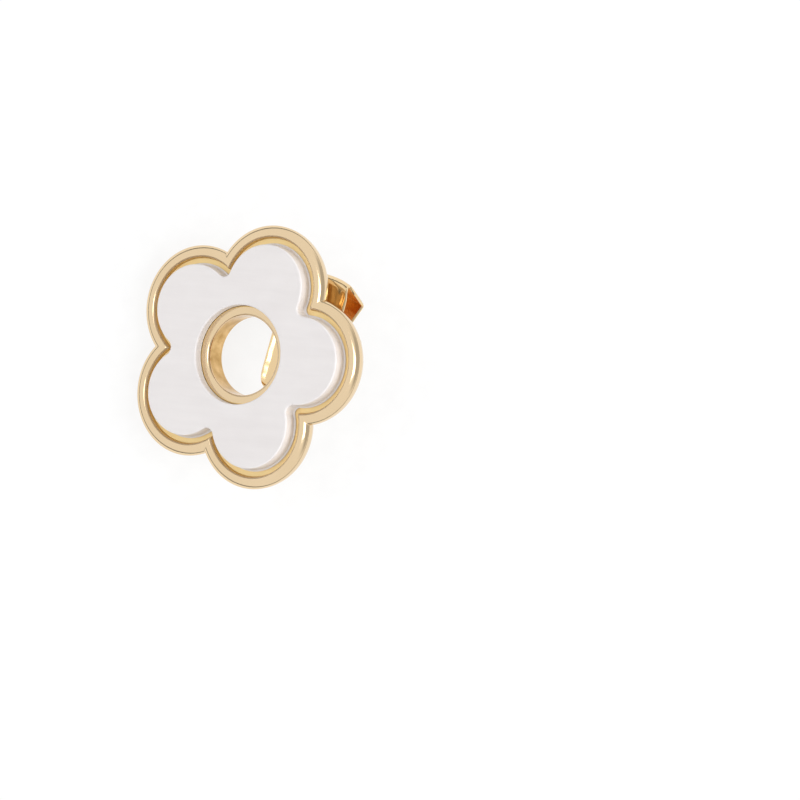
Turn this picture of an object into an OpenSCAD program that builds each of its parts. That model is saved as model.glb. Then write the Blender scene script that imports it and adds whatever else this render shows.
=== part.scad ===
// Flower stud earring: a gold bezel of five petals with a white inlay, a straight post behind it
// and a butterfly clutch on the post. Millimetres.
// The flower is drawn face up about its own centre: +X runs through the first petal, and +Z is
// the face's normal with Z = 0 on the flat band of the rim. It is then laid down as it comes to
// rest by itself, on the tip of the post and on the back edges of the two petals opposite the
// first, which is raised. The origin is at the middle of the footprint, on the surface below.

/* [Flower] */
// Distance from the flower's centre to the centre of each petal's arc
petal_pitch = 4.1; // [4.05:0.01:4.15]
// Radius of the outer edge of each petal
petal_r = 3.66; // [3.6:0.01:3.7]
// Thickness of the metal from the rim's flat band to the back
frame_t = 1.57; // [1.56:0.01:1.8]
// Width of the rim, from the petal's outer edge to the pocket
rim_w = 0.7; // [0.65:0.01:0.75]
// Rounding of the rim's front outer edge
front_round = 0.23; // [0.15:0.01:0.24]
// Rounding of the side wall into the back
back_round = 1.3; // [1:0.05:1.3]
// Bevel along the rim's inner edge
rim_bevel = 0.1; // [0.05:0.01:0.15]
// Depth of the pocket below the rim's flat band
pocket_depth = 0.9; // [0.7:0.05:1]

/* [Collar] */
// Radius of the hole through the flower
hole_r = 2.29; // [2.2:0.01:2.3]
// Outer radius of the raised collar round the hole
collar_r = 2.89; // [2.85:0.01:2.9]
// How far the collar's top lies below the rim's flat band
collar_drop = 0.1; // [0:0.01:0.2]
// Rounding of the collar's outer edge, at the front
collar_shoulder = 0.25; // [0.15:0.01:0.3]
// Rounding of the edges of the hole, front and back
hole_round = 0.14; // [0.1:0.01:0.2]

/* [Inlay] */
// Radius of each petal of the inlay
inlay_r = 2.52; // [2.45:0.01:2.6]
// How far the inlay's face stands above the rim's flat band
inlay_rise = 0.47; // [0.2:0.01:0.5]
// Radius of the rounded notches between the inlay's petals
inlay_notch_r = 0.45; // [0.4:0.01:0.48]
// Gap between the inlay and the metal under it and inside it
inlay_gap = 0.03; // [0.02:0.01:0.04]

/* [Post] */
// Radius of the post
post_r = 0.4; // [0.38:0.01:0.42]
// Length of the post behind the back
post_l = 6.2; // [6:0.1:6.4]
// Distance from the flower's centre to the post
post_pitch = 3.2; // [3.1:0.05:3.3]
// Direction of the post from the flower's centre, from the first petal towards the second
post_bearing = 26.5; // [20:0.5:32]
// Radius of the solder pad at the foot of the post
solder_r = 0.75; // [0.6:0.05:0.9]
// Height of the solder pad
solder_h = 0.18; // [0.1:0.01:0.2]

/* [Clutch] */
// Width of the clutch's strip
clutch_w = 4.2; // [4:0.1:4.6]
// Length of the clutch across both wings
clutch_l = 7.6; // [7.4:0.1:7.8]
// Thickness of the strip
strip_t = 0.2; // [0.16:0.01:0.22]
// Turn of the clutch on the post, clockwise from the front
clutch_turn = 11; // [0:1:14]
// Gap between the flower's back and the clutch
clutch_gap = 0.25; // [0.22:0.01:0.3]
// Radial clearance between the clutch and the post
post_clearance = 0.05; // [0.03:0.01:0.08]
// Radius of the clutch's corners, seen from the front
corner_r = 1; // [0.6:0.05:1.2]

/* [Hidden] */
$fn = 96;

petal_count = 5;
half_step = 180 / petal_count;
pocket_r = petal_r - rim_w;
pocket_floor = -pocket_depth;
inlay_hole_r = collar_r + inlay_gap;
through = 1;

// Centre of the post in the flower's plan, and the rounding of its tip
post_x = post_pitch * cos(post_bearing);
post_y = post_pitch * sin(post_bearing);
tip_r = 0.25;

// Wing of the clutch, from the plate's middle outwards: a row for each bend, giving the straight
// run before it, the bend's radius at the middle of the strip, and its angle
FOLD_R = 0.35;
BACK_R = 0.12;
BEND_STEPS = 18;
wing = [
    // run, bend radius, bend angle
    [clutch_l / 2 - FOLD_R - strip_t / 2, FOLD_R, 121],
    [1.5, BACK_R, 92]
];
leaf_end = post_r + post_clearance + 0.08;

// Lean at which the post's tip and the back edges of the two far petals touch one plane. Each
// rounded edge counts as a circle through the middle of its rounding.
back_edge_r = petal_r - back_round;
front_edge_r = petal_r - front_round;
tip_edge_r = post_r - tip_r;
lean_run = back_edge_r + petal_pitch * cos(half_step) + post_x - tip_edge_r;
lean_rise = post_l + back_round - tip_r;
rest_lean = atan2(lean_rise, lean_run)
    - asin((back_round - tip_r) / norm([lean_run, lean_rise]));

function petal_centre(i, z) =
    [petal_pitch * cos(i * 2 * half_step), petal_pitch * sin(i * 2 * half_step), z];

// A direction of the surface's frame, given in the flower's frame
function to_flower(v) = [
    v.x * cos(rest_lean) + v.z * sin(rest_lean),
    v.y,
    v.z * cos(rest_lean) - v.x * sin(rest_lean)
];

// How far the lying flower reaches from its centre in the direction u of the flower's frame. The
// rounding of an edge counts in full only on its own side: 1 is the front and -1 the back.
function edge_reach(u, centre, r, round, side) =
    let (across = norm([u.x, u.y]))
    u * centre + r * across + round * (u.z * side >= 0 ? 1 : across);
function reach(u) = max(concat(
    [for (i = [0 : petal_count - 1])
        edge_reach(u, petal_centre(i, -front_round), front_edge_r, front_round, 1)],
    [for (i = [0 : petal_count - 1])
        edge_reach(u, petal_centre(i, back_round - frame_t), back_edge_r, back_round, -1)],
    [edge_reach(u, [post_x, post_y, tip_r - frame_t - post_l], tip_edge_r, tip_r, -1)]
));
function reach_along(v) = reach(to_flower(v));
rest_shift = [
    (reach_along([-1, 0, 0]) - reach_along([1, 0, 0])) / 2,
    (reach_along([0, -1, 0]) - reach_along([0, 1, 0])) / 2,
    reach_along([0, 0, -1])
];

// Lays the flower's frame on the surface
module at_rest() {
    translate(rest_shift)
        rotate([0, -rest_lean, 0])
            children();
}

module at_petals() {
    for (i = [0 : petal_count - 1])
        translate(petal_centre(i, 0))
            children();
}

// Half section of a disc with its top at Z = 0 and both outer edges rounded
module rounded_section(r, t, top_round, bottom_round) {
    translate([0, bottom_round - t])
        square([r - top_round, t - bottom_round]);
    translate([0, bottom_round - t])
        square([r, t - top_round - bottom_round]);
    translate([0, -t])
        square([r - bottom_round, t]);
    intersection() {
        translate([r - top_round, -top_round])
            circle(top_round);
        translate([0, -top_round])
            square([r, top_round]);
    }
    intersection() {
        translate([r - bottom_round, bottom_round - t])
            circle(bottom_round);
        translate([0, -t])
            square([r, bottom_round]);
    }
}

module petal_block() {
    rotate_extrude()
        rounded_section(petal_r, frame_t, front_round, back_round);
}

module petal_pocket() {
    rotate_extrude()
        polygon([
            [0, pocket_floor], [pocket_r, pocket_floor], [pocket_r, -rim_bevel],
            [pocket_r + rim_bevel, 0], [pocket_r + rim_bevel, through], [0, through]
        ]);
}

// Ring round the hole, rounded along its top's outer edge and along both edges of the hole
module collar() {
    top = -collar_drop;
    rotate_extrude()
        difference() {
            translate([hole_r, -frame_t])
                square([collar_r - hole_r, frame_t - collar_drop]);
            translate([hole_r, top - hole_round])
                square(hole_round);
            translate([hole_r, -frame_t])
                square(hole_round);
            translate([collar_r - collar_shoulder, top - collar_shoulder])
                square(collar_shoulder);
        }
    rotate_extrude() {
        for (z = [-frame_t + hole_round, top - hole_round])
            translate([hole_r + hole_round, z])
                circle(hole_round);
        translate([collar_r - collar_shoulder, top - collar_shoulder])
            circle(collar_shoulder);
    }
}

module post() {
    root = 0.1;
    translate([post_x, post_y, -frame_t])
        rotate([180, 0, 0])
            rotate_extrude() {
                translate([0, -root])
                    square([post_r, post_l - tip_r + root]);
                square([post_r - tip_r, post_l]);
                intersection() {
                    translate([post_r - tip_r, post_l - tip_r])
                        circle(tip_r);
                    square([post_r, post_l]);
                }
                polygon([[0, 0], [solder_r, 0], [post_r, solder_h], [0, solder_h]]);
            }
}

module flower_frame() {
    color("goldenrod")
        at_rest()
            union() {
                difference() {
                    at_petals()
                        petal_block();
                    at_petals()
                        petal_pocket();
                    translate([0, 0, -frame_t - through])
                        cylinder(r = collar_r - collar_shoulder, h = frame_t + 2 * through);
                }
                collar();
                post();
            }
}

// Plan of the inlay. Each notch is rounded by a disc that bites a little into both petals.
module inlay_plan() {
    bite = 0.03;
    notch_pitch = petal_pitch * cos(half_step)
        + sqrt(pow(inlay_r + inlay_notch_r - bite, 2) - pow(petal_pitch * sin(half_step), 2));
    difference() {
        union() {
            at_petals()
                circle(inlay_r);
            circle(notch_pitch - inlay_notch_r / 2);
        }
        circle(inlay_hole_r);
        for (i = [0 : petal_count - 1])
            rotate((2 * i + 1) * half_step)
                translate([notch_pitch, 0])
                    circle(inlay_notch_r);
    }
}

module petal_inlay() {
    color("whitesmoke")
        at_rest()
            translate([0, 0, pocket_floor + inlay_gap])
                linear_extrude(pocket_depth + inlay_rise - inlay_gap)
                    inlay_plan();
}

// Stations along the middle of one wing's strip: [depth, height, heading], the heading clockwise
// from upwards
function run_end(s, run) = [s[0] + run * sin(s[2]), s[1] + run * cos(s[2]), s[2]];
function bend_at(s, r, turn) =
    let (centre = [s[0], s[1]] + r * [cos(s[2]), -sin(s[2])])
    let (heading = s[2] + turn)
    [centre[0] - r * cos(heading), centre[1] + r * sin(heading), heading];
function bend_stations(s, row) =
    [for (k = [0 : BEND_STEPS]) bend_at(s, row[1], row[2] * k / BEND_STEPS)];
first_bend = bend_stations(run_end([strip_t / 2, 0, 0], wing[0][0]), wing[0]);
second_bend = bend_stations(run_end(first_bend[BEND_STEPS], wing[1][0]), wing[1]);
leaf_start = second_bend[BEND_STEPS];
leaf_tip = run_end(leaf_start, (leaf_end - leaf_start[1]) / cos(leaf_start[2]));
stations = concat(first_bend, second_bend, [leaf_tip]);

// Points beside the stations, at a distance off to the left of the heading
function beside(off) = [for (s = stations) [s[0] - off * cos(s[2]), s[1] + off * sin(s[2])]];
function reversed(points) = [for (k = [len(points) - 1 : -1 : 0]) points[k]];
function mirrored(points) = [for (p = points) [p.x, -p.y]];

// Both wings and the plate between them as one outline
module strip_section() {
    front = beside(strip_t / 2);
    inside = beside(-strip_t / 2);
    polygon(concat(front, reversed(inside), mirrored(inside), reversed(mirrored(front))));
}

module clutch_corners() {
    inner_w = clutch_w / 2 - corner_r;
    inner_l = clutch_l / 2 - corner_r;
    square([clutch_w, 2 * inner_l], center = true);
    square([2 * inner_w, clutch_l], center = true);
    for (x = [-inner_w, inner_w], y = [-inner_l, inner_l])
        translate([x, y])
            circle(corner_r);
}

module butterfly_clutch() {
    reach_back = 4;
    color("gold")
        at_rest()
            translate([post_x, post_y, -frame_t - clutch_gap])
                rotate([0, 0, -clutch_turn])
                    difference() {
                        intersection() {
                            rotate([0, 90, 0])
                                linear_extrude(clutch_w, center = true)
                                    strip_section();
                            translate([0, 0, -reach_back])
                                linear_extrude(reach_back + through)
                                    clutch_corners();
                        }
                        translate([0, 0, -2 * strip_t])
                            cylinder(r = post_r + post_clearance, h = 3 * strip_t);
                    }
}

flower_frame();
petal_inlay();
butterfly_clutch();
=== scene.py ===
"""Flower stud earring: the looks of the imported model."""
import math

import bpy
import numpy as np
from mathutils import Matrix, Vector


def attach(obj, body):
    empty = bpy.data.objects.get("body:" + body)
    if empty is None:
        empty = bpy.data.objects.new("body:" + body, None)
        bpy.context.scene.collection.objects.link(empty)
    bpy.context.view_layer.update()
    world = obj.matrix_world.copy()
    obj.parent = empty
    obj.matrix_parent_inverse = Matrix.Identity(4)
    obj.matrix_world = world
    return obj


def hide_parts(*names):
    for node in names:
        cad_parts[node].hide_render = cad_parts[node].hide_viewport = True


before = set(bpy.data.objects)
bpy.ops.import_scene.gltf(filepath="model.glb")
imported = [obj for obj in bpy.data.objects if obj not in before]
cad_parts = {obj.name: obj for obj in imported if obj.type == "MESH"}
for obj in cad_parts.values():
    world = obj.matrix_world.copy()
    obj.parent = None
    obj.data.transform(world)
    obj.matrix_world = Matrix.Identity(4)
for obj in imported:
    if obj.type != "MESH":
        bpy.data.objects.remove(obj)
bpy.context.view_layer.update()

# Shapes and the camera's place are given in millimetres. Materials, lights and the floor are
# in metres.
MM = 0.001
WHITE = (1, 1, 1, 1)

# The flower's own frame: +X through the first petal, +Z the face's normal, Z = 0 on the rim's
# flat band. The values repeat the named ones of the model's source, apart from the pocket, drawn
# as shallow as its floor shows beside the inlay, and the collar's crisper shoulder.

# Flower
PETALS = 5
PITCH = 4.1
PETAL_R = 3.66
FRAME_T = 1.57
RIM_W = 0.7
BACK_ROUND = 1.3
RIM_BEVEL = 0.1
POCKET_R = PETAL_R - RIM_W
POCKET_DEPTH = 0.4

# Collar and hole
HOLE_R = 2.29
HOLE_ROUND = 0.14
COLLAR_R = 2.89
COLLAR_DROP = 0.1
COLLAR_TOP = -COLLAR_DROP
COLLAR_SHOULDER = 0.12

# Inlay
INLAY_R = 2.52
INLAY_RISE = 0.47
INLAY_NOTCH_R = 0.45
INLAY_GAP = 0.03

# Post, with its angle from the first petal towards the second
POST_R = 0.4
POST_L = 6.2
POST_PITCH = 3.2
POST_BEARING = math.radians(26.5)
SOLDER_R = 0.75
SOLDER_H = 0.18
TIP_R = 0.25

# Clutch, with its turns in degrees
CLUTCH_W = 4.2
CLUTCH_L = 7.6
STRIP_T = 0.2
FOLD_R = 0.35
FOLD_TURN = 121
WING_RUN = 1.5
BACK_R = 0.12
BACK_TURN = 92
CORNER_R = 1.0
CLUTCH_TURN = 11
CLUTCH_GAP = 0.25
POST_CLEARANCE = 0.05

# The lying stance: how far the flower leans, and where its centre comes
LEAN = math.radians(35.3952)
SHIFT = Vector((-0.732847, 0.0, 4.80827))

HALF_STEP = math.pi / PETALS
LAY = Matrix.Translation(SHIFT) @ Matrix.Rotation(-LEAN, 4, "Y")
POST_AT = (POST_PITCH * math.cos(POST_BEARING), POST_PITCH * math.sin(POST_BEARING), -FRAME_T)


def new_object(name, data):
    obj = bpy.data.objects.new(name, data)
    bpy.context.scene.collection.objects.link(obj)
    return obj


# Camera, fitted to the photo. Turn, skew and roll give its view against the flower's face. The
# target lies to the right of the flower's centre and below it, as the picture has them.
CAMERA_TURN = math.radians(32.5)
CAMERA_SKEW = math.radians(-1.1)
CAMERA_ROLL = math.radians(7.2)
CAMERA_DISTANCE = 320.0
TARGET_RIGHT = 9.04
TARGET_DOWN = 2.57
SENSOR = 36
LENS = 252
CLIP_START = 0.01
CLIP_END = 10


def camera():
    across = Vector((math.cos(CAMERA_SKEW), math.sin(CAMERA_SKEW), 0))
    normal = Vector((0, 0, 1))
    side = normal.cross(across)
    level = math.cos(CAMERA_TURN) * across - math.sin(CAMERA_TURN) * normal
    right = math.cos(CAMERA_ROLL) * level + math.sin(CAMERA_ROLL) * side
    up = -math.sin(CAMERA_ROLL) * level + math.cos(CAMERA_ROLL) * side
    towards = math.sin(CAMERA_TURN) * across + math.cos(CAMERA_TURN) * normal
    place = LAY @ (towards * CAMERA_DISTANCE)
    target = LAY @ (right * TARGET_RIGHT - up * TARGET_DOWN)
    look = (target - place).normalized()
    x = look.cross(LAY.to_3x3() @ up).normalized()
    y = x.cross(look)
    m = Matrix((x, y, -look)).transposed().to_4x4()
    m.translation = place * MM
    data = bpy.data.cameras.new("camera")
    data.sensor_width = SENSOR
    data.lens = LENS
    data.clip_start = CLIP_START
    data.clip_end = CLIP_END
    cam = new_object("camera", data)
    cam.matrix_world = m
    bpy.context.scene.camera = cam


camera()

# Meshes: steps round a petal's half, round half a notch and round the post, and the angles over
# which an edge is drawn sharp, in general and on the clutch
ARC_STEPS = 36
CUSP_STEPS = 5
POST_STEPS = 64
SHARP = math.radians(50)
CLUTCH_SHARP = math.radians(35)


def mesh_object(name, verts, faces, materials=(), tones=()):
    """A smooth mesh, laid down as the stud lies. tones gives the material's index of each face,
    and faces past its end have the first material."""
    mesh = bpy.data.meshes.new(name)
    mesh.from_pydata([LAY @ Vector(v) * MM for v in verts], [], faces)
    for material in materials:
        mesh.materials.append(material)
    for face, tone in zip(mesh.polygons, tones):
        face.material_index = tone
    mesh.validate()
    mesh.update()
    mesh.shade_smooth()
    mesh.set_sharp_from_angle(angle=SHARP)
    return new_object(name, mesh)


def arc(cx, cz, r, a0, a1, n):
    """Points on an arc in a section, from angle a0 to a1 in degrees."""
    return [(cx + r * math.cos(math.radians(a)), cz + r * math.sin(math.radians(a)))
            for a in np.linspace(a0, a1, n + 1)]


def lobed(rho, cusp):
    """One turn round petals of radius rho, each notch between them rounded by radius cusp."""
    c, s = math.cos(HALF_STEP), math.sin(HALF_STEP)
    along = PITCH * c + math.sqrt((rho + cusp) ** 2 - (PITCH * s) ** 2)
    centre = (along * c, along * s)
    end = math.atan2(centre[1], centre[0] - PITCH)
    half = [(PITCH + rho * math.cos(a), rho * math.sin(a))
            for a in np.linspace(0, end, ARC_STEPS + 1)]
    start = math.atan2(-centre[1], PITCH - centre[0])
    stop = HALF_STEP - math.pi
    half += [(centre[0] + cusp * math.cos(a), centre[1] + cusp * math.sin(a))
             for a in np.linspace(start, stop, CUSP_STEPS + 1)[1:]]
    petal = [(x, -y) for x, y in reversed(half[1:])] + half[:-1]
    turn = []
    for i in range(PETALS):
        a = 2 * HALF_STEP * i
        turn += [(x * math.cos(a) - y * math.sin(a), x * math.sin(a) + y * math.cos(a))
                 for x, y in petal]
    return turn


def ring_like(curve, r):
    """A circle of radius r whose points lie in the same directions as the curve's."""
    return [(r * x / math.hypot(x, y), r * y / math.hypot(x, y)) for x, y in curve]


def raised(curve, z):
    """A plan curve as a ring at height z."""
    return [(x, y, z) for x, y in curve]


def loft(rings, closed):
    """Quads between rings of points. closed joins the last ring to the first, and without it the
    two end rings are filled."""
    n = len(rings[0])
    verts = [p for ring in rings for p in ring]
    faces = []
    count = len(rings)
    for j in range(count if closed else count - 1):
        k = (j + 1) % count
        for i in range(n):
            m = (i + 1) % n
            faces.append((j * n + i, j * n + m, k * n + m, k * n + i))
    if not closed:
        last = (count - 1) * n
        faces.append(tuple(range(n - 1, -1, -1)))
        faces.append(tuple(range(last, last + n)))
    return verts, faces


def spun(section, at, down=False):
    """A solid of revolution from a section of (radius, height) points. down turns it over."""
    rings = [[(r * math.cos(a), r * math.sin(a), h)
              for a in np.linspace(0, 2 * math.pi, POST_STEPS, endpoint=False)]
             for r, h in section]
    verts, faces = loft(rings, False)
    sign = -1 if down else 1
    verts = [(x + at[0], y * sign + at[1], z * sign + at[2]) for x, y, z in verts]
    return verts, faces


# Gold frame

# Material slots of a gold piece: its polished outside, what lies inside it, and its hole. Golds in
# the inside's and the hole's slots are copies of the plating recoloured by place, as painted
# reflection, shade and light.
OUTSIDE, INSIDE, BORE = 0, 1, 2
# A row this far from a rounding keeps the flat face beside it flat
GUARD = 0.012
# Radius of the notches between the petals, in plan
CUSP = 0.05
# Steps along the edges of the hole
HOLE_STEPS = 8
# The back's rounding starts a little outside its lowest point, so that the petals still meet:
# how far out its first row lies and how high, then the angle of its arc's start, in degrees
BACK_OUT = 0.05
BACK_UP = 0.0008
BACK_START = 276
BACK_STEPS = 26
# Width and depth of the polished crown along the rim's front outer edge
CROWN_W = 0.32
CROWN_D = 0.26
CROWN_STEPS = 16
# Width and depth of the soft lip between the rim's flat band and the pocket, and how many of its
# rows have the outside's tone
LIP_W = RIM_BEVEL + 0.05
LIP_D = 0.25
LIP_STEPS = 12
LIP_OUTSIDE = 8
# Roundings between the pocket's floor and its wall, and between the floor and the collar
POCKET_CORNER = 0.06
CORNER_STEPS = 5
COLLAR_FOOT = 0.03
FOOT_STEPS = 4
SHOULDER_STEPS = 12


def back_hole_edge():
    """The hole's edge at the back, out to the flat."""
    edge = arc(HOLE_R + HOLE_ROUND, HOLE_ROUND - FRAME_T, HOLE_ROUND, 180, 270, HOLE_STEPS)
    return edge + [(HOLE_R + HOLE_ROUND + GUARD, -FRAME_T)]


def back_edge():
    """The rounded back edge, up to the wall."""
    back_r = PETAL_R - BACK_ROUND
    edge = arc(back_r, BACK_ROUND - FRAME_T, BACK_ROUND, BACK_START, 360, BACK_STEPS)
    return [(back_r + BACK_OUT, BACK_UP - FRAME_T)] + edge


def crown():
    """The rim's front outer edge, from the wall to the flat band."""
    edge = [(PETAL_R - CROWN_W * (1 - math.cos(a)), -CROWN_D * (1 - math.sin(a)))
            for a in np.linspace(0, math.pi / 2, CROWN_STEPS + 1)[1:]]
    return [(PETAL_R, -CROWN_D)] + edge + [(PETAL_R - CROWN_W - GUARD, 0)]


def lip():
    """The soft lip, from the flat band to the pocket's wall."""
    return [(POCKET_R + LIP_W * (1 - math.sin(a)), -LIP_D * (1 - math.cos(a)))
            for a in np.linspace(0, math.pi / 2, LIP_STEPS + 1)]


def pocket():
    """The pocket's wall and its corner, in to the floor."""
    corner = arc(POCKET_R - POCKET_CORNER, POCKET_CORNER - POCKET_DEPTH, POCKET_CORNER,
                 0, -90, CORNER_STEPS)
    wall = [(POCKET_R, -LIP_D - GUARD), (POCKET_R, -POCKET_DEPTH + POCKET_CORNER + GUARD)]
    return wall + corner + [(POCKET_R - POCKET_CORNER - GUARD, -POCKET_DEPTH)]


def collar_side():
    """The collar's foot, side and shoulder, from the pocket's floor up."""
    foot = arc(COLLAR_R + COLLAR_FOOT, COLLAR_FOOT - POCKET_DEPTH, COLLAR_FOOT,
               270, 180, FOOT_STEPS)
    shoulder = arc(COLLAR_R - COLLAR_SHOULDER, COLLAR_TOP - COLLAR_SHOULDER, COLLAR_SHOULDER,
                   0, 90, SHOULDER_STEPS)
    side = [(COLLAR_R, COLLAR_TOP - COLLAR_SHOULDER - GUARD)]
    return [(COLLAR_R + COLLAR_FOOT + GUARD, -POCKET_DEPTH)] + foot + side + shoulder


def collar_top():
    """The collar's flat top and the hole's front edge."""
    flat = [(COLLAR_R - COLLAR_SHOULDER - GUARD, COLLAR_TOP),
            (HOLE_R + HOLE_ROUND + GUARD, COLLAR_TOP)]
    return flat + arc(HOLE_R + HOLE_ROUND, COLLAR_TOP - HOLE_ROUND, HOLE_ROUND,
                      90, 180, HOLE_STEPS)


def bore():
    """The wall of the hole."""
    return [(HOLE_R, COLLAR_TOP - HOLE_ROUND - GUARD), (HOLE_R, -FRAME_T + HOLE_ROUND + GUARD)]


def frame_rings():
    """Rings of the frame's section, and for each the tone of the faces after it."""
    guide = lobed(POCKET_R, CUSP)
    lip_rows = lip()
    rim = crown() + [(POCKET_R + LIP_W + GUARD, 0)]
    parts = [
        (OUTSIDE, False, back_hole_edge()),
        (OUTSIDE, True, back_edge() + rim + lip_rows[:LIP_OUTSIDE]),
        (INSIDE, True, lip_rows[LIP_OUTSIDE:] + pocket()),
        (INSIDE, False, collar_side()),
        (OUTSIDE, False, collar_top()),
        (BORE, False, bore()),
    ]
    rings, tones = [], []
    for tone, petals, rows in parts:
        for r, z in rows:
            rings.append(raised(lobed(r, CUSP) if petals else ring_like(guide, r), z))
            tones.append(tone)
    return rings, tones


# Post

# Radius of the small ends on its axis, and how far it starts inside the flower's back
AXIS_R = 0.001
POST_SINK = 0.1
# How hollow the solder's flank is, as a power
SOLDER_CURVE = 2.2
SOLDER_STEPS = 8
# Distance of the rows that keep the post's wall straight, and steps along its tip
POST_GUARD = 0.02
TIP_STEPS = 10


def post_section():
    """The post's section, from inside the flower's back to its tip."""
    fillet = [(POST_R + (SOLDER_R - POST_R) * (1 - t) ** SOLDER_CURVE, SOLDER_H * t)
              for t in np.linspace(0, 1, SOLDER_STEPS + 1)]
    wall = [(POST_R, SOLDER_H + POST_GUARD), (POST_R, POST_L - TIP_R - POST_GUARD)]
    tip = arc(POST_R - TIP_R, POST_L - TIP_R, TIP_R, 0, 90, TIP_STEPS)
    start = [(AXIS_R, -POST_SINK), (SOLDER_R, -POST_SINK)]
    return start + fillet + wall + tip + [(AXIS_R, POST_L)]


def frame_piece(materials):
    rings, ring_tones = frame_rings()
    verts, faces = loft(rings, True)
    tones = [t for t in ring_tones for _ in rings[0]]
    count = len(verts)
    post_verts, post_faces = spun(post_section(), POST_AT, down=True)
    faces += [tuple(i + count for i in f) for f in post_faces]
    return mesh_object("gold_bezel", verts + post_verts, faces, materials, tones)


# Clutch

# How far the wings' sides are drawn in towards the post, as a share of their height, and the
# power of the distance across by which that grows
ARCH = 0.095
ARCH_POWER = 3
# Step of the plate's long edges towards the flower, where it lies across half the width, and the
# power of the cosine by which it fades round the fold
CURL = 0.08
CURL_FROM, CURL_TO = 0.76, 0.98
CURL_POWER = 4
# Share of a corner's radius by which the plan is drawn in there
CORNER_SHARE = 0.55
# Rounding of the strip's edges
STRIP_ROUND = 0.06
# The plate's first run beside the post, and the gap between the post and a leaf's end
FIRST_RUN = 0.7
LEAF_GAP = 0.08
# Steps along the runs and bends of a wing, in order, and across the strip
FIRST_STEPS = 3
PLATE_STEPS = 8
FOLD_STEPS = 22
WING_STEPS = 8
BACK_BEND_STEPS = 14
LEAF_STEPS = 10
ACROSS = 40
# Half the length of the body that cuts the hole for the post
CUTTER_HALF = 0.5


def wing_line():
    """Middle of one wing's strip as rows of (height, depth, heading in radians, from upwards)."""
    height, depth, heading = 0.0, STRIP_T / 2, 0.0
    rows = [(height, depth, heading)]

    def run(length, steps):
        nonlocal height, depth
        for _ in range(steps):
            height += length / steps * math.cos(heading)
            depth += length / steps * math.sin(heading)
            rows.append((height, depth, heading))

    def bend(r, turn, steps):
        nonlocal height, depth, heading
        cd, ch = depth + r * math.cos(heading), height - r * math.sin(heading)
        start = heading
        for k in range(1, steps + 1):
            heading = start + math.radians(turn) * k / steps
            depth, height = cd - r * math.cos(heading), ch + r * math.sin(heading)
            rows.append((height, depth, heading))

    run(FIRST_RUN, FIRST_STEPS)
    run(CLUTCH_L / 2 - FOLD_R - STRIP_T / 2 - FIRST_RUN, PLATE_STEPS)
    bend(FOLD_R, FOLD_TURN, FOLD_STEPS)
    run(WING_RUN, WING_STEPS)
    bend(BACK_R, BACK_TURN, BACK_BEND_STEPS)
    leaf_end = POST_R + POST_CLEARANCE + LEAF_GAP
    run((leaf_end - height) / math.cos(heading), LEAF_STEPS)
    return rows


def half_width(height):
    """Half the strip's width, narrower where a wing's plan is rounded."""
    over = abs(height) - (CLUTCH_L / 2 - CORNER_R)
    full = CLUTCH_W / 2
    if over <= 0:
        return full
    return full - CORNER_SHARE * (CORNER_R - math.sqrt(CORNER_R ** 2 - over ** 2))


def strip_loop():
    """The strip's section as (place across, distance from its middle, whether on a side edge)."""
    half_t = STRIP_T / 2
    side_t = half_t - STRIP_ROUND
    flat = [2 * k / ACROSS - 1 for k in range(ACROSS + 1)]
    loop = []
    for side in (1, -1):
        loop += [(side * f, side * half_t, False) for f in flat]
        loop += [(side, side * side_t, True), (side, -side * side_t, True)]
    return loop


def strip_ring(loop, height, depth, heading):
    """The section's ring at one row of the strip's middle line."""
    w = half_width(height)
    ring = []
    for u, off, edge in loop:
        x = u * (w if edge else w - STRIP_ROUND)
        out = abs(x / (CLUTCH_W / 2))
        drawn = 1 - ARCH * out ** ARCH_POWER
        t = min(max((out - CURL_FROM) / (CURL_TO - CURL_FROM), 0), 1)
        curl = CURL * t * t * (3 - 2 * t) * max(math.cos(heading), 0) ** CURL_POWER
        y = (height + off * math.sin(heading)) * drawn
        ring.append((x, y, -(depth - off * math.cos(heading) - curl)))
    return ring


def cut_post_hole(strip, z):
    """Cuts the hole for the post through the strip, round height z."""
    hole_r = POST_R + POST_CLEARANCE
    verts, faces = spun([(hole_r, -CUTTER_HALF), (hole_r, CUTTER_HALF)], (POST_AT[0], POST_AT[1], z))
    cutter = mesh_object("hole_cutter", verts, faces)
    cut = strip.modifiers.new("hole", "BOOLEAN")
    cut.operation = "DIFFERENCE"
    cut.solver = "EXACT"
    cut.object = cutter
    graph = bpy.context.evaluated_depsgraph_get()
    mesh = bpy.data.meshes.new_from_object(strip.evaluated_get(graph))
    strip.modifiers.clear()
    strip.data = mesh
    bpy.data.objects.remove(cutter)
    mesh.shade_smooth()
    mesh.set_sharp_from_angle(angle=CLUTCH_SHARP)


def clutch_piece(materials):
    wing = wing_line()
    line = [(-height, depth, -heading) for height, depth, heading in reversed(wing[1:])] + wing
    loop = strip_loop()
    rings = [strip_ring(loop, *row) for row in line]
    verts, faces = loft(rings, False)
    inner_half = range(len(loop) // 2, len(loop) // 2 + ACROSS)
    tones = [INSIDE if i in inner_half else OUTSIDE for _ in rings[1:] for i in range(len(loop))]
    turn = math.radians(-CLUTCH_TURN)
    c, s = math.cos(turn), math.sin(turn)
    z0 = -FRAME_T - CLUTCH_GAP
    place = [(POST_AT[0] + x * c - y * s, POST_AT[1] + x * s + y * c, z + z0)
             for x, y, z in verts]
    strip = mesh_object("gold_clutch", place, faces, materials, tones)
    cut_post_hole(strip, z0)
    return strip


# Inlay

# Radius of the slab's soft edges on top, and of its soft white foot, as of set cement
INLAY_SOFT = 0.09
INLAY_FOOT = 0.12
SOFT_STEPS = 8
INLAY_FOOT_STEPS = 5
# Angle up the collar's shoulder at which the slab's bedding on it starts, and its rows
BED_TOP = math.radians(60)
BED_ROWS = 8
# Shares of the way across the top at which it has rows
TOP_ROWS = (0.25, 0.5, 0.75)


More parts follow.
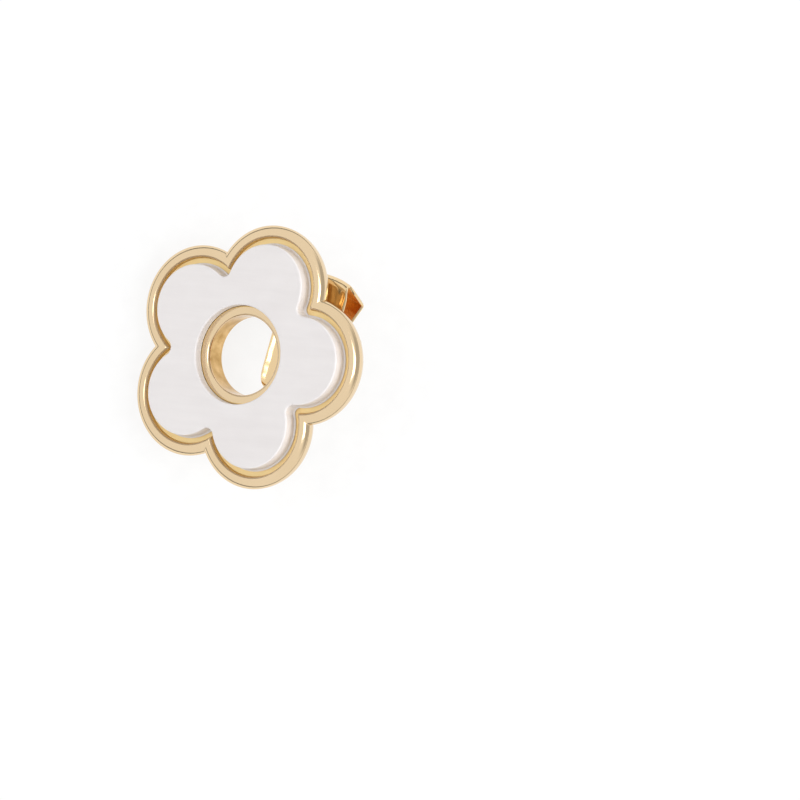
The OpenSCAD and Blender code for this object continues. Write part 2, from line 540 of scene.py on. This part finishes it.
def inlay_outline(out):
    """The slab's outline, moved outwards by out."""
    return lobed(INLAY_R + out, INLAY_NOTCH_R - out)


def inlay_side():
    """The slab's foot, wall and soft top edge as (distance outwards, height) points."""
    foot = arc(INLAY_FOOT, INLAY_GAP - POCKET_DEPTH + INLAY_FOOT, INLAY_FOOT,
               270, 180, INLAY_FOOT_STEPS)
    edge = arc(-INLAY_SOFT, INLAY_RISE - INLAY_SOFT, INLAY_SOFT, 0, 90, SOFT_STEPS)
    wall = [(0, INLAY_RISE - INLAY_SOFT - GUARD)]
    return foot + wall + edge + [(-INLAY_SOFT - GUARD, INLAY_RISE)]


def inlay_hole():
    """The slab's hole from the top down as (radius, height) points. Its bedding follows the
    collar's shoulder, a gap away from it."""
    centre = (COLLAR_R - COLLAR_SHOULDER, COLLAR_TOP - COLLAR_SHOULDER)
    bed_r = COLLAR_SHOULDER + INLAY_GAP
    hole = centre[0] + bed_r * math.cos(BED_TOP)
    edge = arc(hole + INLAY_SOFT, INLAY_RISE - INLAY_SOFT, INLAY_SOFT, 90, 180, SOFT_STEPS)
    bedding = [(centre[0] + bed_r * math.cos(a), centre[1] + bed_r * math.sin(a))
               for a in np.linspace(BED_TOP, 0, BED_ROWS)]
    wall = [(hole, INLAY_RISE - INLAY_SOFT - GUARD)]
    return [(hole + INLAY_SOFT + GUARD, INLAY_RISE)] + edge + wall + bedding


def inlay_piece(materials):
    guide = inlay_outline(0)
    outer = [raised(inlay_outline(out), z) for out, z in inlay_side()]
    inner = [raised(ring_like(guide, r), z) for r, z in inlay_hole()]
    top = [[(p[0] * (1 - t) + q[0] * t, p[1] * (1 - t) + q[1] * t, INLAY_RISE)
            for p, q in zip(outer[-1], inner[0])] for t in TOP_ROWS]
    verts, faces = loft(outer + top + inner, True)
    return mesh_object("white_inlay", verts, faces, materials)


# Materials

# Noise on the golds, in waves per metre: fine polish marks and a soft orange peel
MARKS = 2600
PEEL = 700
# Height in metres and strength of the fine marks, and strength of the slab's faint bands
FINE_HEIGHT = 0.000004
MARKS_STRENGTH = 0.1
BANDS_STRENGTH = 0.15
# Noise on the slab, in waves per metre along each axis for its bands, and for its clouds
BANDS = (300, 2200, 300)
CLOUDS = 420
# Noise on the floor, in waves per metre
PAPER_GRAIN = 900
# Between these values a noise turns from one colour to the other
NOISE_LOW, NOISE_HIGH = 0.3, 0.7


def new_material(name):
    mat = bpy.data.materials.new(name)
    mat.use_nodes = True
    nt = mat.node_tree
    return mat, nt, nt.nodes["Principled BSDF"]


def coords(nt, scale=(1, 1, 1)):
    tex = nt.nodes.new("ShaderNodeTexCoord")
    mapping = nt.nodes.new("ShaderNodeMapping")
    mapping.inputs["Scale"].default_value = scale
    nt.links.new(tex.outputs["Object"], mapping.inputs["Vector"])
    return mapping.outputs["Vector"]


def noise(nt, vector, scale, detail, rough):
    node = nt.nodes.new("ShaderNodeTexNoise")
    node.inputs["Scale"].default_value = scale
    node.inputs["Detail"].default_value = detail
    node.inputs["Roughness"].default_value = rough
    nt.links.new(vector, node.inputs["Vector"])
    return node.outputs["Fac"]


def ramp(nt, fac, low, high, until=NOISE_HIGH):
    """Colour from low to high as fac grows to until."""
    node = nt.nodes.new("ShaderNodeValToRGB")
    first, last = node.color_ramp.elements
    first.position, first.color = NOISE_LOW, low
    last.position, last.color = until, high
    nt.links.new(fac, node.inputs["Fac"])
    return node.outputs["Color"]


def span(nt, fac, low, high):
    node = nt.nodes.new("ShaderNodeMapRange")
    node.inputs["To Min"].default_value = low
    node.inputs["To Max"].default_value = high
    nt.links.new(fac, node.inputs["Value"])
    return node.outputs["Result"]


def bump(nt, bsdf, layers):
    """layers is [(height, distance in metres, strength)]."""
    normal = None
    for height, distance, strength in layers:
        node = nt.nodes.new("ShaderNodeBump")
        node.inputs["Strength"].default_value = strength
        node.inputs["Distance"].default_value = distance
        nt.links.new(height, node.inputs["Height"])
        if normal is not None:
            nt.links.new(normal, node.inputs["Normal"])
        normal = node.outputs["Normal"]
    nt.links.new(normal, bsdf.inputs["Normal"])


def gold_material(name, light, deep, wave=0.12, rough=(0.07, 0.15), dent=0.00002, patches=260):
    """Plating: tones that change by patches, a roughness that changes by fine marks, and an orange
    peel of strength wave and height dent."""
    mat, nt, bsdf = new_material(name)
    bsdf.inputs["Metallic"].default_value = 1.0
    v = coords(nt)
    tone = noise(nt, v, patches, detail=3, rough=0.5)
    nt.links.new(ramp(nt, tone, deep, light), bsdf.inputs["Base Color"])
    fine = noise(nt, v, MARKS, detail=4, rough=0.6)
    nt.links.new(span(nt, fine, *rough), bsdf.inputs["Roughness"])
    peel = noise(nt, v, PEEL, detail=2, rough=0.4)
    bump(nt, bsdf, [(peel, dent, wave), (fine, FINE_HEIGHT, MARKS_STRENGTH)])
    return mat


def inlay_material():
    """Pale nacre: faint bands and clouds, with a clear polish."""
    mat, nt, bsdf = new_material("nacre")
    bands = noise(nt, coords(nt, BANDS), 1, detail=4, rough=0.55)
    clouds = noise(nt, coords(nt), CLOUDS, detail=3, rough=0.5)
    mix = nt.nodes.new("ShaderNodeMix")
    mix.data_type = "RGBA"
    mix.blend_type = "MULTIPLY"
    mix.inputs["Factor"].default_value = 1.0
    tints = ramp(nt, bands, (0.755, 0.725, 0.72, 1), (0.785, 0.755, 0.75, 1))
    haze = ramp(nt, clouds, (0.975, 0.97, 0.97, 1), WHITE, until=0.6)
    nt.links.new(tints, mix.inputs["A"])
    nt.links.new(haze, mix.inputs["B"])
    nt.links.new(mix.outputs["Result"], bsdf.inputs["Base Color"])
    nt.links.new(span(nt, clouds, 0.32, 0.42), bsdf.inputs["Roughness"])
    bsdf.inputs["Coat Weight"].default_value = 0.25
    bsdf.inputs["Coat Roughness"].default_value = 0.15
    bump(nt, bsdf, [(bands, FINE_HEIGHT, BANDS_STRENGTH)])
    return mat


def board_material():
    """The floor's white card, which glows so that it stays white under the faint shadow."""
    mat, nt, bsdf = new_material("white_board")
    grain = noise(nt, coords(nt), PAPER_GRAIN, detail=2, rough=0.5)
    paper = ramp(nt, grain, (0.15, 0.15, 0.15, 1), (0.17, 0.17, 0.17, 1))
    nt.links.new(paper, bsdf.inputs["Base Color"])
    bsdf.inputs["Roughness"].default_value = 0.9
    bsdf.inputs["Emission Color"].default_value = WHITE
    bsdf.inputs["Emission Strength"].default_value = 0.8
    return mat


# Each gold has a light and a deep tone
pale_gold = gold_material("pale_gold", (0.83, 0.645, 0.415, 1), (0.80, 0.615, 0.385, 1))
# The pocket's gold: a brighter, more orange copy of the plating, painted gold-on-gold reflection
# that also lifts the pocket's shade.
pocket_gold_painted_reflection = gold_material("pocket_gold_painted_reflection", (0.89, 0.67, 0.33, 1), (0.86, 0.63, 0.29, 1),
                            rough=(0.3, 0.42))
# The hole's gold: a deeper orange copy of the plating, painted gold-on-gold reflection and shade in
# the bore, with dark patches as painted reflection streaks.
bore_gold_painted_shade = gold_material("bore_gold_painted_shade", (0.82, 0.54, 0.24, 1), (0.52, 0.31, 0.10, 1), wave=0.8,
                          dent=0.00005, patches=1500)
yellow_gold = gold_material("yellow_gold", (0.86, 0.65, 0.38, 1), (0.82, 0.60, 0.33, 1), wave=0.9,
                            dent=0.00006)
# The clutch's inner faces: a lighter copy of its gold, painted light that lifts the shade in its
# folds and cavity.
fold_gold_painted_light = gold_material("fold_gold_painted_light", (0.90, 0.71, 0.47, 1), (0.88, 0.68, 0.44, 1), wave=0.8)
nacre = inlay_material()

# Pieces
bezel = frame_piece((pale_gold, pocket_gold_painted_reflection, bore_gold_painted_shade))
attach(bezel, "flower")
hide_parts("flower_frame")

inlay = inlay_piece((nacre,))
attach(inlay, "flower")
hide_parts("petal_inlay")

clutch = clutch_piece((yellow_gold, fold_gold_painted_light))
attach(clutch, "clutch")
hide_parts("butterfly_clutch")

# Stage and lights

# Half the floor's side, and the lights' distance from the middle of the footprint
FLOOR_HALF = 0.6
LIGHT_DISTANCE = 0.4
# Each light's azimuth and elevation in degrees, width and height, and radiance
BOX_FROM = (176, 60)
BOX_SIZE = (0.1, 0.24)
BOX_RADIANCE = 3.0
FILL_FROM = (0, 43)
FILL_SIZE = (0.3, 0.3)
FILL_RADIANCE = 4.2
# The tent turns from its dark horizon to white between these heights of the view's direction
HORIZON_LOW, HORIZON_HIGH = 0.1, 0.25
HORIZON_STRENGTH, TENT_STRENGTH = 0.18, 0.965
# The tent's shaded part: its azimuth and elevation, the cosines of its outer and inner edge, and
# the share of light that it keeps
SHADE_FROM = (20, 55)
SHADE_OUTER, SHADE_INNER = 0.6, 0.9
SHADE = 0.55


def floor_piece():
    h = FLOOR_HALF
    mesh = bpy.data.meshes.new("floor")
    mesh.from_pydata([(-h, -h, 0), (h, -h, 0), (h, h, 0), (-h, h, 0)], [], [(0, 1, 2, 3)])
    mesh.materials.append(board_material())
    return new_object("floor", mesh)


floor = floor_piece()


def from_dir(azimuth, elevation, r=1):
    """The point at distance r in a direction given in degrees."""
    a, e = math.radians(azimuth), math.radians(elevation)
    return Vector((math.cos(a) * math.cos(e), math.sin(a) * math.cos(e), math.sin(e))) * r


def area(name, direction, size, radiance):
    """A rectangular light of some radiance, turned towards the middle of the footprint."""
    data = bpy.data.lights.new(name, "AREA")
    data.shape = "RECTANGLE"
    data.size, data.size_y = size
    data.energy = radiance * math.pi * size[0] * size[1]
    obj = new_object(name, data)
    obj.location = from_dir(*direction, LIGHT_DISTANCE)
    way = Vector((0, 0, 0)) - from_dir(*direction, LIGHT_DISTANCE)
    obj.rotation_euler = way.to_track_quat("-Z", "Y").to_euler()
    return obj


# A soft box high on the left, and on the right a fill that lights matt surfaces only, so that it
# leaves no streak on the gold
area("soft_box", BOX_FROM, BOX_SIZE, BOX_RADIANCE)
fill = area("fill", FILL_FROM, FILL_SIZE, FILL_RADIANCE)
fill.visible_glossy = False


def studio():
    """White tent: a darker horizon that only reflections see, and a shaded part on the right."""
    world = bpy.data.worlds.new("studio")
    bpy.context.scene.world = world
    world.use_nodes = True
    nt = world.node_tree
    back = nt.nodes["Background"]
    tex = nt.nodes.new("ShaderNodeTexCoord")
    split = nt.nodes.new("ShaderNodeSeparateXYZ")
    nt.links.new(tex.outputs["Generated"], split.inputs["Vector"])

    def math_node(op, *values):
        node = nt.nodes.new("ShaderNodeMath")
        node.operation = op
        for i, value in enumerate(values):
            nt.links.new(value, node.inputs[i])
        return node.outputs["Value"]

    def smooth(x, x0, x1, y0, y1):
        node = nt.nodes.new("ShaderNodeMapRange")
        node.interpolation_type = "SMOOTHSTEP"
        for key, v in (("From Min", x0), ("From Max", x1), ("To Min", y0), ("To Max", y1)):
            node.inputs[key].default_value = v
        nt.links.new(x, node.inputs["Value"])
        return node.outputs["Result"]

    def towards(direction):
        node = nt.nodes.new("ShaderNodeVectorMath")
        node.operation = "DOT_PRODUCT"
        node.inputs[1].default_value = from_dir(*direction)
        nt.links.new(tex.outputs["Generated"], node.inputs[0])
        return node.outputs["Value"]

    height = math_node("ABSOLUTE", split.outputs["Z"])
    horizon = smooth(height, HORIZON_LOW, HORIZON_HIGH, HORIZON_STRENGTH, TENT_STRENGTH)
    shade = smooth(towards(SHADE_FROM), SHADE_OUTER, SHADE_INNER, 1, SHADE)
    tent = math_node("MULTIPLY", horizon, shade)
    seen = nt.nodes.new("ShaderNodeLightPath").outputs["Is Camera Ray"]
    nt.links.new(math_node("MAXIMUM", tent, seen), back.inputs["Strength"])
    back.inputs["Color"].default_value = WHITE


studio()

bpy.context.scene.view_settings.view_transform = "Standard"
bpy.context.scene.cycles.glossy_bounces = 10
